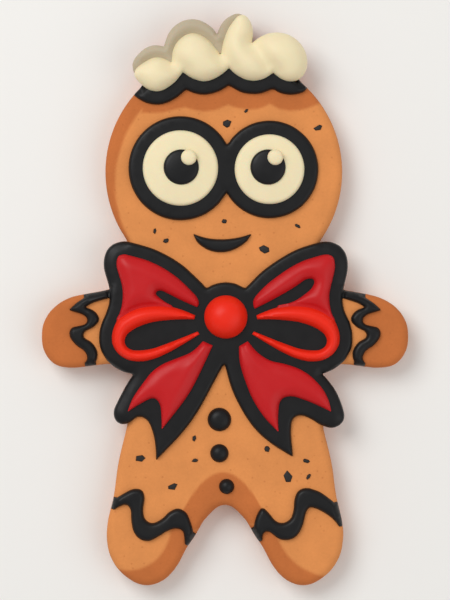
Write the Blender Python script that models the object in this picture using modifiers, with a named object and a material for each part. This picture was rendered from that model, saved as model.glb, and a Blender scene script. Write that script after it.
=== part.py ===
"""Gingerbread man: a cut-out gingerbread biscuit with its icing, lying face up.

Frame: +Z up through the biscuit, +Y towards the head, +X to the right seen from above.
The origin is under the middle of the biscuit, on the surface that it lies on.
The biscuit is one solid.  Each field of icing is a solid of its own, a hair's breadth
above what carries it.  Shapes are drawn in millimetres and become meshes in metres.

A flat shape is a function: it takes points and returns how deep inside the shape each
one lies, negative outside.  Shapes are joined, grown and cut as such functions, and a
traced shape becomes an outline, which `slab` turns into a domed or rounded solid.
"""

import math

import bmesh
import bpy
import numpy as np
from mathutils import Vector
from mathutils.geometry import delaunay_2d_cdt, interpolate_bezier

MM = 0.001                # metres in a millimetre

# Driving dimensions, in millimetres.
BISCUIT_THICKNESS = 8.0
TOP_ROUND = 2.0           # baked, rounded rim of the upper face
RIM_RINGS = (1.0, TOP_ROUND)  # depths at which the rounded rim has an edge loop
BASE_ROUND = 0.7          # the rim that lay on the baking sheet
DOUGH_FILLET = 2.0        # how softly two limbs of dough run together
GAP = 0.3                 # between a solid and the one that it lies on
LINE = 3.25               # black icing that shows round the bow and under the frosting
BLACK_LAYER = 1.2         # thickness of the black icing
TUCK = 1.0                # how far the dough stays inside the icing that it carries

ON_BISCUIT = BISCUIT_THICKNESS + GAP
BLACK_TOP = ON_BISCUIT + BLACK_LAYER
ON_BLACK = BLACK_TOP + GAP

HEAD_CENTRE = (-0.3, 32.0)
HEAD_RADIUS = 29.6
KNOT_CENTRE = (0.2, -4.2)
KNOT_RADIUS = 5.4
KNOT_HEIGHT = 4.2
BOW_AXIS = 0.2            # the bow's front loops mirror about this X

# Eyes: centre, then the radii of the black surround, the white, the pupil and the glint.
EYES = {
    "left": {"centre": (-11.1, 32.9), "surround": 13.0, "white": 9.4,
             "pupil": (-10.9, 33.1), "glint": (-9.0, 35.5)},
    "right": {"centre": (11.1, 32.6), "surround": 12.2, "white": 8.7,
              "pupil": (10.7, 33.1), "glint": (12.5, 35.5)},
}
PUPIL_RADIUS = 4.4
GLINT_RADIUS = 1.95
WHITE_HEIGHT = 1.2
PUPIL_HEIGHT = 0.8
GLINT_HEIGHT = 0.6

# Buttons down the front: name, centre, radius.
BUTTONS = (("top", (-1.4, -29.8), 2.95),
           ("middle", (-1.4, -38.2), 2.3),
           ("bottom", (0.4, -46.5), 1.9))
BUTTON_HEIGHT = 1.5

# Precision of the drawn lines.
GRID = 0.4                # spacing at which joined shapes are traced
FINE_GRID = 0.25          # the same for small shapes and for the rings of a dome
SMOOTHNESS = 0.065        # an outline may cut a corner by this much
RING_SMOOTHNESS = 0.165   # the same for the rings inside it
ON_EDGE = 1e-4            # a point this near the outline is on it

SHARP = "sharp"           # marks a corner in a drawn outline

# Outlines in millimetres, seen from above.  The direction round them does not matter.
# The left half of the body, from under the bow, round the foot and up to the crotch.
HALF_BODY = [(-15.0, -11.2), (-21.0, -18.0), (-24.4, -31.5), (-26.7, -41.0),
             (-27.9, -49.5), (-29.3, -55.5), (-29.5, -60.2), (-28.1, -65.2),
             (-24.4, -69.4), (-19.8, -71.3), (-15.1, -69.8), (-11.6, -65.8),
             (-9.5, -61.8), (-7.3, -58.6), (-4.6, -54.3), (0.0, -51.2)]
# The left arm and mitten hand.
ARM = [(-17.5, 3.6), (-28.2, 2.7), (-35.3, 1.5), (-39.0, 0.5), (-42.9, -2.0),
       (-45.2, -5.4), (-45.8, -9.0), (-45.0, -13.2), (-42.4, -16.1), (-38.6, -16.9),
       (-34.0, -16.5), (-27.4, -15.7), (-17.5, -15.5)]
# The cloud of frosting in front: four lobes above and four scallops below.
FROSTING_FRONT = [
    (-22.6, 56.8), (-20.2, 59.3), (-16.9, 60.6), (-13.4, 59.3, SHARP),
    (-13.0, 62.5), (-11.2, 65.2), (-8.2, 66.6), (-4.8, 65.4), (-1.1, 61.2, SHARP),
    (-0.5, 64.5), (1.5, 68.9), (4.2, 71.1), (6.4, 69.2), (6.7, 64.0, SHARP),
    (9.2, 65.8), (12.9, 66.7), (17.8, 64.9), (20.5, 59.9), (19.2, 55.6),
    (16.0, 54.5), (12.0, 56.6, SHARP), (9.2, 55.0), (6.2, 54.7), (3.2, 55.9),
    (1.0, 57.8, SHARP), (-2.0, 55.5), (-5.2, 54.5), (-8.2, 55.3),
    (-10.5, 56.8, SHARP), (-13.5, 53.5), (-17.2, 52.0), (-20.9, 53.8)]
# The lower bank of frosting behind it; most of this outline is under the front one.
FROSTING_BACK = [
    (-23.0, 57.9), (-20.5, 62.3), (-17.4, 63.5), (-15.2, 63.1, SHARP),
    (-12.9, 68.0), (-8.0, 70.0), (-3.5, 68.1), (-2.0, 66.1, SHARP), (0.2, 70.0),
    (4.0, 71.1), (5.0, 67.5), (0.0, 60.0), (-12.5, 57.0), (-18.8, 55.0)]
SMILE = [(-8.0, 16.6, SHARP), (-6.4, 13.9), (-1.1, 11.9), (4.8, 14.1),
         (6.7, 16.6, SHARP), (3.2, 15.6), (-0.5, 15.2), (-4.5, 15.5)]
# The bow's loops: the dark back of the ribbon above, its bright front below.
LOOP_BACK_LEFT = [
    (-26.8, 10.5), (-25.9, 11.3), (-22.5, 10.8), (-18.2, 9.4), (-13.5, 6.8),
    (-9.3, 3.2), (-6.5, -0.6), (-6.9, -1.8, SHARP), (-10.2, -0.4), (-13.5, 1.2),
    (-16.6, 2.3), (-17.2, 1.7), (-16.0, 0.4), (-13.5, -1.4, SHARP), (-20.0, -1.3),
    (-22.9, -2.1), (-26.7, -4.5, SHARP), (-25.6, -0.6), (-25.6, 3.0)]
LOOP_BACK_RIGHT = [
    (26.6, 11.0), (27.4, 9.0), (26.7, 4.8), (26.0, 0.8), (26.9, -4.5, SHARP),
    (23.3, -2.1), (20.4, -1.3), (13.4, -1.4, SHARP), (16.5, -0.6), (19.8, 1.4),
    (21.9, 3.5), (22.1, 5.0), (20.8, 5.3), (17.6, 3.4), (12.5, 0.4),
    (7.4, -2.2, SHARP), (7.0, -0.4), (9.2, 2.7), (13.0, 5.9), (17.5, 8.8),
    (22.0, 10.6)]
LOOP_FRONT_LEFT = [
    (-26.8, -4.8, SHARP), (-22.9, -2.4), (-20.0, -1.6), (-13.4, -1.7),
    (-7.4, -3.8, SHARP), (-7.6, -4.8, SHARP), (-16.2, -5.2), (-19.8, -6.0),
    (-22.9, -7.4), (-24.7, -9.1), (-24.8, -11.1), (-23.4, -12.3), (-21.0, -12.5),
    (-17.5, -11.9), (-13.2, -10.3), (-6.8, -7.8, SHARP), (-6.3, -8.5, SHARP),
    (-10.1, -10.8), (-14.5, -13.3), (-18.2, -14.8), (-21.7, -15.3),
    (-25.2, -14.4), (-27.6, -12.0), (-28.2, -9.1)]
TAIL_LEFT = [
    (-5.5, -10.2, SHARP), (-3.0, -11.3, SHARP), (-6.4, -18.5), (-8.9, -23.2),
    (-12.2, -27.8), (-15.8, -32.3, SHARP), (-15.9, -28.8), (-16.5, -25.5),
    (-17.8, -24.5), (-20.2, -25.4), (-24.3, -27.9, SHARP), (-23.0, -24.5),
    (-20.5, -20.8), (-18.0, -17.7), (-15.0, -15.7), (-11.2, -14.2), (-8.2, -12.8)]
TAIL_RIGHT = [
    (5.7, -10.2, SHARP), (3.5, -11.5, SHARP), (3.6, -15.0), (4.8, -19.5),
    (7.0, -24.9), (9.8, -29.2), (13.4, -33.0, SHARP), (13.3, -28.6), (14.1, -24.8),
    (16.0, -24.0), (19.5, -24.8), (26.5, -27.9, SHARP), (25.6, -24.4),
    (23.0, -20.5), (19.2, -17.5), (15.2, -16.0), (11.2, -15.0), (8.0, -12.9)]
# Black icing under the tails, wider than they are.
TAIL_BLACK_LEFT = [
    (-17.2, -40.1, SHARP), (-11.0, -33.5), (-8.0, -29.7), (-3.9, -22.8),
    (-0.1, -15.7, SHARP), (-0.1, -8.8), (-7.5, -8.8), (-16.2, -12.5),
    (-21.0, -16.2), (-24.0, -20.2), (-26.4, -24.5), (-27.8, -28.2),
    (-26.8, -30.6), (-24.5, -30.9), (-21.4, -29.1), (-19.6, -29.8),
    (-18.4, -31.8), (-17.5, -35.5)]
TAIL_BLACK_RIGHT = [
    (17.0, -39.2, SHARP), (16.6, -35.5), (16.5, -31.8), (17.1, -29.5),
    (18.8, -28.8), (21.5, -29.7), (24.2, -31.3), (27.5, -31.8), (29.6, -30.0),
    (29.1, -26.0), (27.1, -21.8), (23.8, -18.1), (18.8, -15.0), (9.2, -10.0),
    (-0.1, -8.8), (-0.1, -15.7, SHARP), (1.6, -22.0), (3.9, -26.9),
    (7.0, -31.6), (10.5, -35.0)]
# The wavy bands on the wrists and ankles; their ends run on past the rim of the dough.
CUFF = [(-27.0, 3.8, SHARP), (-31.0, 2.7), (-32.6, 1.8), (-35.4, 0.4), (-37.3, -0.9),
        (-39.0, -2.5, SHARP), (-37.2, -3.1), (-35.4, -3.7), (-34.4, -4.8), (-34.8, -5.9),
        (-36.5, -6.4), (-38.4, -7.1), (-38.8, -8.8), (-37.3, -11.1), (-34.9, -13.0),
        (-34.4, -14.6), (-35.5, -16.3), (-37.0, -18.2, SHARP), (-34.8, -18.4, SHARP),
        (-33.4, -16.6), (-32.1, -15.1), (-31.8, -13.2), (-33.1, -10.7), (-35.2, -9.2),
        (-35.1, -8.1), (-32.5, -6.5), (-31.4, -4.8), (-32.3, -3.0), (-34.9, -1.8, SHARP),
        (-33.4, -0.9), (-31.5, -0.2), (-29.5, 0.4), (-27.0, 1.0, SHARP)]
ANKLE_LEFT = [(-31.0, -51.6, SHARP), (-27.4, -49.5), (-25.0, -48.1), (-22.6, -47.1),
              (-20.7, -47.5), (-20.1, -48.9), (-20.4, -51.6), (-20.3, -53.7),
              (-19.6, -55.0), (-18.2, -55.6), (-15.9, -54.7), (-13.8, -52.8),
              (-11.8, -52.0), (-9.9, -52.8), (-8.7, -55.1), (-7.5, -59.7),
              (-6.8, -63.0, SHARP), (-9.8, -63.4, SHARP), (-10.1, -60.7), (-10.2, -59.0),
              (-10.7, -57.5), (-12.2, -57.0), (-14.3, -57.6), (-16.8, -59.1),
              (-19.0, -60.1), (-21.1, -59.7), (-22.8, -57.8), (-23.4, -54.9),
              (-23.7, -52.0), (-24.6, -51.1), (-26.3, -51.5), (-28.4, -52.9),
              (-31.5, -55.4, SHARP)]
ANKLE_RIGHT = [(31.5, -55.0, SHARP), (28.9, -52.3), (27.2, -50.6), (24.7, -48.5),
               (22.6, -47.4), (20.2, -46.9), (18.3, -47.6), (17.4, -49.5), (17.0, -52.8),
               (16.2, -54.7), (14.3, -55.6), (12.7, -55.1), (11.0, -53.2), (9.3, -51.9),
               (8.1, -53.3), (7.3, -55.7), (6.9, -58.2), (6.2, -61.5, SHARP),
               (9.2, -62.6, SHARP), (9.3, -59.9), (9.6, -58.3), (10.6, -57.7),
               (11.9, -58.4), (13.3, -59.5), (15.2, -59.9), (17.3, -59.3), (18.9, -57.4),
               (19.8, -54.9), (20.4, -52.6), (21.2, -51.8), (22.6, -52.0), (24.7, -53.0),
               (27.2, -54.9), (28.8, -57.0), (31.5, -60.0, SHARP)]

PAGE_LOW = (-50.0, -76.0)  # corners of the page that joined shapes are traced on
PAGE_HIGH = (50.0, 76.0)


# ---------------------------------------------------------------- drawn lines

def span_points(start, start_handle, end_handle, end, spacing):
    """Points of one Bezier span, without its last one."""
    steps = max(2, min(12, math.ceil((end - start).length / spacing)))
    return interpolate_bezier(start, start_handle, end_handle, end, steps + 1)[:-1]


def smooth_line(points, spacing=0.6):
    """A closed smooth line through the points; it turns sharply at those marked SHARP."""
    knots = [Vector(p[:2]) for p in points]
    sharp = [p[-1] is SHARP for p in points]
    count = len(knots)

    def direction(i):
        before = knots[i] - knots[i - 1]
        after = knots[(i + 1) % count] - knots[i]
        return (before.normalized() + after.normalized()).normalized()

    line = []
    for i in range(count):
        j = (i + 1) % count
        reach = 0.36 * (knots[j] - knots[i]).length
        leave = None if sharp[i] else knots[i] + direction(i) * reach
        arrive = None if sharp[j] else knots[j] - direction(j) * reach
        if leave is None and arrive is None:
            leave = knots[i].lerp(knots[j], 1 / 3)
            arrive = knots[i].lerp(knots[j], 2 / 3)
        elif leave is None:
            leave = knots[i].lerp(arrive, 0.5)
        elif arrive is None:
            arrive = knots[j].lerp(leave, 0.5)
        line += span_points(knots[i], leave, arrive, knots[j], spacing)
    return np.array([(p[0], p[1]) for p in line])


def simplified(loop, tolerance):
    """The closed loop without the points that it can spare."""
    far = int(np.argmax(np.hypot(*(loop - loop[0]).T)))
    ring = np.vstack((loop, loop[:1]))
    keep = {0, far}
    stretches = [(0, far), (far, len(loop))]
    while stretches:
        first, last = stretches.pop()
        if last - first < 2:
            continue
        chord = ring[last] - ring[first]
        between = ring[first + 1:last] - ring[first]
        along = np.clip(between @ chord / max(chord @ chord, 1e-12), 0, 1)
        off = np.hypot(*(between - along[:, None] * chord).T)
        worst = int(np.argmax(off))
        if off[worst] > tolerance:
            middle = first + 1 + worst
            keep.add(middle)
            stretches += [(first, middle), (middle, last)]
    return loop[sorted(keep)]


def area(loop):
    x, y = loop.T
    return 0.5 * float(np.sum(x * np.roll(y, -1) - np.roll(x, -1) * y))


# ---------------------------------------------------------------- flat shapes

def depth_inside(points, loop):
    """How deep each point lies inside the closed loop; negative outside."""
    spans = np.roll(loop, -1, axis=0) - loop
    squares = (spans ** 2).sum(axis=1)
    above_start = points[:, 1][:, None] >= loop[:, 1]
    above_end = points[:, 1][:, None] >= np.roll(loop[:, 1], -1)
    depth = np.empty(len(points))
    batch = 4000
    for first in range(0, len(points), batch):
        rows = slice(first, first + batch)
        away = points[rows, None, :] - loop[None]
        along = np.clip((away * spans).sum(axis=2) / squares, 0, 1)
        nearest = np.sqrt(((away - along[..., None] * spans) ** 2).sum(axis=2).min(axis=1))
        left = spans[:, 0] * away[..., 1] - spans[:, 1] * away[..., 0] > 0
        climbs = above_start[rows] & ~above_end[rows] & left
        falls = ~above_start[rows] & above_end[rows] & ~left
        winding = climbs.sum(axis=1) - falls.sum(axis=1)
        depth[rows] = np.where(winding != 0, nearest, -nearest)
    return np.where(np.abs(depth) < ON_EDGE, 0.0, depth)


def drawn(loop):
    return lambda points: depth_inside(points, loop)


def disc(centre, radius):
    return lambda points: radius - np.hypot(points[:, 0] - centre[0], points[:, 1] - centre[1])


def mirrored(shape):
    return lambda points: shape(points * (-1, 1))


def grown(shape, width):
    return lambda points: shape(points) + width


def joined(*shapes, fillet=0.0):
    """All the shapes together, with inner corners of the given fillet."""
    def depth(points):
        total = shapes[0](points)
        for shape in shapes[1:]:
            other = shape(points)
            near = np.clip(fillet - np.abs(total - other), 0, None)
            total = np.maximum(total, other)
            if fillet:
                total = total + near ** 2 / (4 * fillet)
        return total
    return depth


def common(*shapes):
    return lambda points: np.min([shape(points) for shape in shapes], axis=0)


def clear_of(shape, other, gap=GAP):
    """The shape without what comes within the gap of the other one."""
    return lambda points: np.minimum(shape(points), -other(points) - gap)


def trace(shape, low, high, step):
    """The closed lines round a shape, with the shape on their left."""
    xs = np.arange(low[0], high[0] + step, step)
    ys = np.arange(low[1], high[1] + step, step)
    x, y = np.meshgrid(xs, ys)
    depth = shape(np.column_stack((x.ravel(), y.ravel()))).reshape(x.shape)
    inside = depth > 0
    count = (inside[:-1, :-1].astype(int) + inside[:-1, 1:] + inside[1:, 1:] + inside[1:, :-1])
    follow = {}
    for i, j in zip(*np.nonzero((count > 0) & (count < 4))):
        corners = ((i, j), (i, j + 1), (i + 1, j + 1), (i + 1, j))
        ends = [(corners[k], corners[(k + 1) % 4]) for k in range(4)]
        leaves = [k for k, (a, b) in enumerate(ends) if inside[a] and not inside[b]]
        enters = [k for k, (a, b) in enumerate(ends) if not inside[a] and inside[b]]
        middle = sum(depth[c] for c in corners) > 0
        for k in leaves:
            turn = 1 if middle else -1
            goal = next(m % 4 for m in range(k + turn, k + 5 * turn, turn) if m % 4 in enters)
            follow[tuple(sorted(ends[k]))] = tuple(sorted(ends[goal]))

    def place(edge):
        a, b = edge
        share = depth[a] / (depth[a] - depth[b])
        return (x[a] + share * (x[b] - x[a]), y[a] + share * (y[b] - y[a]))

    loops = []
    while follow:
        first, edge = follow.popitem()
        loop = [place(first)]
        while edge != first:
            loop.append(place(edge))
            edge = follow.pop(edge)
        loops.append(np.array(loop))
    return loops


def outline(shape, low=PAGE_LOW, high=PAGE_HIGH, step=GRID):
    """The outer line of a shape, with its holes filled."""
    return simplified(max(trace(shape, low, high, step), key=area), SMOOTHNESS)


def outline_of_points(points):
    loop = smooth_line(points)
    if area(loop) < 0:
        loop = loop[::-1]
    return simplified(loop, SMOOTHNESS)


# --------------------------------------------------------------------- solids

def rounding(depth, width, drop):
    """How far a surface has fallen at a depth inside an edge that is rounded off."""
    inward = np.clip(depth / width, 0, 1)
    return drop * (1 - np.sqrt(1 - (1 - inward) ** 2))


def material(name, colour, roughness):
    made = bpy.data.materials.new(name)
    made.use_nodes = True
    shader = made.node_tree.nodes["Principled BSDF"]
    shader.inputs["Base Color"].default_value = (*colour, 1)
    shader.inputs["Roughness"].default_value = roughness
    shader.inputs["Metallic"].default_value = 0.0
    return made


def add_object(name, mesh, finish):
    mesh.materials.append(finish)
    made = bpy.data.objects.new(name, mesh)
    PARTS.objects.link(made)
    return made


def cap(mesh, loop, rings, height, upward):
    """Fills the loop with triangles at height(points, depth), as one face of a slab.

    Each ring is a depth inside the loop, or a flat shape, along which the face bends.
    """
    lines = [loop]
    low = loop.min(axis=0) - 2 * FINE_GRID
    high = loop.max(axis=0) + 2 * FINE_GRID
    for ring in rings:
        shape = ring if callable(ring) else grown(drawn(loop), -ring)
        found = trace(shape, low, high, FINE_GRID)
        lines += [simplified(line, RING_SMOOTHNESS) for line in found if area(line) > FINE_GRID]
    points = []
    edges = []
    for line in lines:
        first = len(points)
        points += [Vector(p) for p in line]
        edges += [(first + k, first + (k + 1) % len(line)) for k in range(len(line))]
    filled = delaunay_2d_cdt(points, edges, [], 1, 1e-5)
    flat = np.array([(p[0], p[1]) for p in filled[0]])
    heights = height(flat, depth_inside(flat, loop))
    verts = [mesh.verts.new((p[0] * MM, p[1] * MM, z * MM)) for p, z in zip(flat, heights)]
    for face in filled[2]:
        corners = [verts[k] for k in face]
        turn = area(flat[list(face)])
        if (turn > 0) != upward:
            corners.reverse()
        mesh.faces.new(corners)


def slab(name, loop, finish, bottom, top, rings=(), base_rings=()):
    """A solid over the outline, between bottom(points, depth) and top(points, depth)."""
    mesh = bmesh.new()
    cap(mesh, loop, rings, top, upward=True)
    cap(mesh, loop, base_rings, bottom, upward=False)
    edge_depth = np.zeros(len(loop))
    lower = [mesh.verts.new((p[0] * MM, p[1] * MM, z * MM))
             for p, z in zip(loop, bottom(loop, edge_depth))]
    upper = [mesh.verts.new((p[0] * MM, p[1] * MM, z * MM))
             for p, z in zip(loop, top(loop, edge_depth))]
    for k in range(len(loop)):
        n = (k + 1) % len(loop)
        mesh.faces.new((lower[k], lower[n], upper[n], upper[k]))
    bmesh.ops.remove_doubles(mesh, verts=mesh.verts, dist=0.002 * MM)
    data = bpy.data.meshes.new(name)
    mesh.to_mesh(data)
    mesh.free()
    data.shade_smooth()
    data.set_sharp_from_angle(angle=math.radians(40))
    return add_object(name, data, finish)


def level_at(height):
    return lambda points, depth: np.full(len(points), height)


def domed(height, width, drop):
    """A top that reaches `height` inside and rounds off by `drop` towards its edge."""
    return lambda points, depth: height - rounding(depth, width, drop)


def turned(name, centre, radius, base, height, finish, segments):
    """A low round dome of icing: a quarter-oval profile turned about its own axis."""
    side = 0.25 * height
    profile = []
    arc_steps = 3
    for step in range(arc_steps + 1):
        angle = math.pi / 2 * (1 - step / arc_steps)
        out = radius * math.cos(angle) if step else 0.0
        profile.append((out, base + side + (height - side) * math.sin(angle)))
    profile += [(radius, base), (0.0, base)]
    data = bpy.data.meshes.new(name)
    points = [(out * MM, 0, up * MM) for out, up in profile]
    data.from_pydata(points, [(k, k + 1) for k in range(len(points) - 1)], [])
    made = add_object(name, data, finish)
    made.location = (centre[0] * MM, centre[1] * MM, 0)
    screw = made.modifiers.new("Turned", "SCREW")
    screw.steps = screw.render_steps = segments
    screw.use_merge_vertices = True
    screw.merge_threshold = 0.00001
    return made


# ------------------------------------------------------------------ the pieces

def biscuit_shape(bow, frosting):
    """The dough: round head, two arms, flared body with two feet, and what carries icing."""
    left_arm = drawn(outline_of_points(ARM))
    right_half = [(-x, y) for x, y in reversed(HALF_BODY[:-1])]
    body = drawn(outline_of_points(HALF_BODY + right_half))
    return joined(disc(HEAD_CENTRE, HEAD_RADIUS), body, left_arm, mirrored(left_arm),
                  grown(bow, -TUCK), grown(frosting, -TUCK), fillet=DOUGH_FILLET)


def bow_black_shape(loops):
    """The black icing that the ribbon lies on, and which shows round it as a line."""
    backing = joined(disc(KNOT_CENTRE, KNOT_RADIUS + LINE),
                     *[grown(drawn(loop), LINE) for loop in loops],
                     drawn(outline_of_points(TAIL_BLACK_LEFT)),
                     drawn(outline_of_points(TAIL_BLACK_RIGHT)))
    return drawn(outline(backing))


def make_biscuit(loop):
    slab("gingerbread", loop, BISCUIT,
         bottom=lambda points, depth: rounding(depth, BASE_ROUND, BASE_ROUND),
         top=domed(BISCUIT_THICKNESS, TOP_ROUND, TOP_ROUND),
         rings=(0.3, *RIM_RINGS), base_rings=(BASE_ROUND,))


def make_frosting(front_loop, front, total):
    head = disc(HEAD_CENTRE, HEAD_RADIUS - TUCK)
    under = joined(grown(total, -TUCK), common(grown(total, LINE), head))
    slab("frosting_outline", outline(under), BLACK, level_at(ON_BISCUIT),
         domed(BLACK_TOP, 0.6, 0.7), rings=(0.6,))
    back_loop = outline(clear_of(total, front), step=FINE_GRID)
    slab("frosting_back", back_loop, SHADED_CREAM, level_at(ON_BLACK),
         domed(ON_BLACK + 2.8, 3.0, 1.6), rings=(0.4, 1.8))
    slab("frosting_front", front_loop, CREAM, level_at(ON_BLACK),
         domed(ON_BLACK + 4.4, 4.6, 2.6), rings=(0.4, 1.5, 3.6))


def make_face():
    surround = joined(*[disc(eye["centre"], eye["surround"]) for eye in EYES.values()])
    slab("eye_surround", outline(surround), BLACK, level_at(ON_BISCUIT),
         domed(BLACK_TOP, 0.6, 0.7), rings=(0.6,))
    on_white = ON_BLACK + WHITE_HEIGHT + GAP
    on_pupil = on_white + PUPIL_HEIGHT + GAP
    for side, eye in EYES.items():
        turned(f"eye_white_{side}", eye["centre"], eye["white"], ON_BLACK, WHITE_HEIGHT,
               CREAM, 24)
        turned(f"pupil_{side}", eye["pupil"], PUPIL_RADIUS, on_white, PUPIL_HEIGHT, BLACK, 20)
        turned(f"glint_{side}", eye["glint"], GLINT_RADIUS, on_pupil, GLINT_HEIGHT, CREAM, 10)
    slab("smile", outline_of_points(SMILE), BLACK, level_at(ON_BISCUIT),
         domed(BLACK_TOP, 1.2, 0.8), rings=(0.5,))


def make_buttons():
    for name, centre, radius in BUTTONS:
        turned(f"button_{name}", centre, radius, ON_BISCUIT, BUTTON_HEIGHT, BLACK, 16)


def make_bow(black_loop, loops):
    slab("bow_outline", black_loop, BLACK, level_at(ON_BISCUIT), domed(BLACK_TOP, 0.6, 0.7),
         rings=(0.6,))
    for kind, loop in loops.items():
        finish, height = (DARK_RED, 2.0) if kind.startswith("back") else (BRIGHT_RED, 2.6)
        slab(f"bow_loop_{kind}", loop, finish, level_at(ON_BLACK),
             domed(ON_BLACK + height, 2.0, height - 0.5), rings=(0.3, 1.1))
    for side, points in (("left", TAIL_LEFT), ("right", TAIL_RIGHT)):
        slab(f"bow_tail_{side}", outline_of_points(points), DARK_RED, level_at(ON_BLACK),
             domed(ON_BLACK + 1.7, 2.0, 1.2), rings=(0.3, 1.1))
    turned("bow_knot", KNOT_CENTRE, KNOT_RADIUS, ON_BLACK, KNOT_HEIGHT, BRIGHT_RED, 20)


def make_bands(biscuit_loop, bow):
    """Piped bands that follow the rounded rim of the biscuit at wrists and ankles."""
    biscuit = drawn(biscuit_loop)

    def bottom(points, depth):
        rim = rounding(biscuit(points), TOP_ROUND, TOP_ROUND)
        return ON_BISCUIT - rim

    def top(points, depth):
        return bottom(points, depth) + BLACK_LAYER - rounding(depth, 1.0, 0.7)

    bands = {"cuff_left": CUFF, "ankle_left": ANKLE_LEFT, "ankle_right": ANKLE_RIGHT,
             "cuff_right": [(-p[0], *p[1:]) for p in CUFF]}
    for name, points in bands.items():
        piped = outline_of_points(points)
        on_dough = common(clear_of(drawn(piped), bow), grown(biscuit, -2 * GAP))
        loop = outline(on_dough, piped.min(axis=0) - 1, piped.max(axis=0) + 1, FINE_GRID)
        band = drawn(loop)
        inner = grown(band, -2 * RING_SMOOTHNESS)
        bends = [common(inner, grown(biscuit, -ring)) for ring in RIM_RINGS]
        slab(name, loop, BLACK, bottom, top, rings=(0.6, *bends), base_rings=bends)


for old in list(bpy.data.objects):
    bpy.data.objects.remove(old)
PARTS = bpy.data.collections.new("gingerbread man")
bpy.context.scene.collection.children.link(PARTS)

BISCUIT = material("baked gingerbread", (0.73, 0.28, 0.08), 0.75)
BLACK = material("black royal icing", (0.015, 0.015, 0.016), 0.4)
CREAM = material("cream royal icing", (0.85, 0.73, 0.47), 0.5)
SHADED_CREAM = material("shaded cream royal icing", (0.52, 0.45, 0.30), 0.5)
DARK_RED = material("dark red royal icing", (0.55, 0.018, 0.022), 0.4)
BRIGHT_RED = material("bright red royal icing", (0.83, 0.036, 0.018), 0.4)


def main():
    front_left = outline_of_points(LOOP_FRONT_LEFT)
    loops = {"back_left": outline_of_points(LOOP_BACK_LEFT),
             "back_right": outline_of_points(LOOP_BACK_RIGHT),
             "front_left": front_left,
             "front_right": (front_left * (-1, 1) + (2 * BOW_AXIS, 0))[::-1]}
    bow = bow_black_shape(loops.values())
    front_loop = outline_of_points(FROSTING_FRONT)
    front = drawn(front_loop)
    frosting = joined(front, drawn(outline_of_points(FROSTING_BACK)))
    biscuit_loop = outline(biscuit_shape(bow, frosting))
    make_biscuit(biscuit_loop)
    make_frosting(front_loop, front, frosting)
    make_face()
    make_buttons()
    make_bow(outline(bow), loops)
    make_bands(biscuit_loop, bow)


main()
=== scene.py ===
"""Looks of an iced gingerbread man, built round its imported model.

The biscuit and each field of icing become fine meshes over the outlines of the model's
own pieces.  The biscuit is a baked slab with a rounded rim and browner places.  Icing is
a flooded or piped layer with round edges, set a little into what it lies on.
Lengths are metres.  The biscuit lies on its back: +Z is up, +Y is towards the head.
"""

import functools
import math
import random

import bmesh
import bpy
import numpy as np
from bpy.props import FloatProperty, FloatVectorProperty, PointerProperty
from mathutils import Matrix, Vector, noise
from mathutils.geometry import delaunay_2d_cdt, interpolate_bezier


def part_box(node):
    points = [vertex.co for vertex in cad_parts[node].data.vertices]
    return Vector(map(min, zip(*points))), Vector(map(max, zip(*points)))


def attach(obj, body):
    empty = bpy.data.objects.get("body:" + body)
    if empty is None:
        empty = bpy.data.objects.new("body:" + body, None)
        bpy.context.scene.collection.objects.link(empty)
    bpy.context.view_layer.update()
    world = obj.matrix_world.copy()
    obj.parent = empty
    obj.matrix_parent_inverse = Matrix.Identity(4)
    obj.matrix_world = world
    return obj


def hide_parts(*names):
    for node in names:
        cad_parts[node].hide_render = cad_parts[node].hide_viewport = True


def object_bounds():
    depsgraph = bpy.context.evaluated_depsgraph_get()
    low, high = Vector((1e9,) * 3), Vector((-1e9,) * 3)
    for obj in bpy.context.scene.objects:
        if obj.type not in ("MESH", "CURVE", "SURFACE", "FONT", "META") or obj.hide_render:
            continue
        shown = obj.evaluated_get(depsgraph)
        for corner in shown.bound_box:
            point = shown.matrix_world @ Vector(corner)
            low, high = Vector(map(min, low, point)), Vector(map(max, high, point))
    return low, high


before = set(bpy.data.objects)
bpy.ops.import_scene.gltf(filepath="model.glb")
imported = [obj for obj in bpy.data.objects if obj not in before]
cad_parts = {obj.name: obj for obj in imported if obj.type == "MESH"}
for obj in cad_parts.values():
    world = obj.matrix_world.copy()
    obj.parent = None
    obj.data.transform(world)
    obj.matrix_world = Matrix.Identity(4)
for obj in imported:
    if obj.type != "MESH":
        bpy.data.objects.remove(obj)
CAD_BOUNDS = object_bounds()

bl_info = {
    "name": "Gingerbread Man",
    "version": (1, 0, 0),
    "blender": (4, 5, 0),
    "location": "View3D > Sidebar > Gingerbread",
    "description": "Bakes and ices a gingerbread man over its model",
    "category": "Object",
}

MM = 0.001
BODY = "root"


def linear(hex_colour):
    """The linear RGB of an sRGB hex colour."""
    parts = [int(hex_colour[start:start + 2], 16) / 255 for start in (1, 3, 5)]
    return tuple(p / 12.92 if p <= 0.04045 else ((p + 0.055) / 1.055) ** 2.4 for p in parts)


# ------------------------------------------------------------------- settings

def length(name, description, millimetres):
    return FloatProperty(name=name, description=description, default=millimetres * MM,
                         min=0.0, unit="LENGTH", precision=5)


def colour(name, description, hex_colour):
    return FloatVectorProperty(name=name, description=description, subtype="COLOR", size=3,
                               min=0.0, max=1.0, default=linear(hex_colour))


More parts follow.
